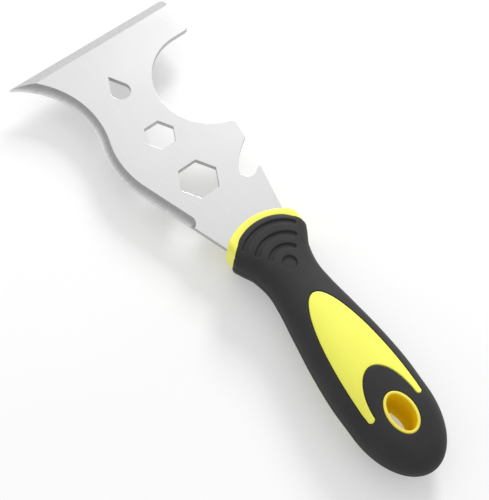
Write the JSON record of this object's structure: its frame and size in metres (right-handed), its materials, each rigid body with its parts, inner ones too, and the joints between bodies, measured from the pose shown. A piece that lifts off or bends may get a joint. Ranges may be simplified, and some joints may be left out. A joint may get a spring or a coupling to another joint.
{
  "type": "painter's multi tool",
  "caption": "Painter's multi tool with a flat steel scraper blade, wrench holes, a roller scraper arc, an opener notch and a soft two-colour handle with a hanging hole.",
  "frame": {"origin": "centre of the bounding box's bottom face, with the blade's plate level", "axes": "+X along the handle's axis from the butt to the blade's front edge, +Y towards the blade's S-shaped cutting edge, +Z out of the blade's ground face"},
  "size_m": [0.2129, 0.0745, 0.0206],
  "materials": {
    "blade_steel": "bright stainless steel, finely polished faces with faint lengthwise grain, ground edges a little duller",
    "pin_steel": "plain drawn steel pin, hidden inside the handle",
    "core_plastic": "yellow moulded hard plastic, hidden under the grip",
    "yellow_plastic": "bright lemon yellow moulded plastic, low gloss",
    "grip_rubber": "matte charcoal black soft elastomer with a fine moulded grain"
  },
  "bodies": {
    "root": {"blade": "blade_steel", "tang_pins": "pin_steel", "core_front": "core_plastic", "core_back": "core_plastic", "collar": "yellow_plastic", "hang_grommet": "yellow_plastic", "inlay_front": "yellow_plastic", "inlay_back": "yellow_plastic", "grip": "grip_rubber"}
  },
  "joints": []
}
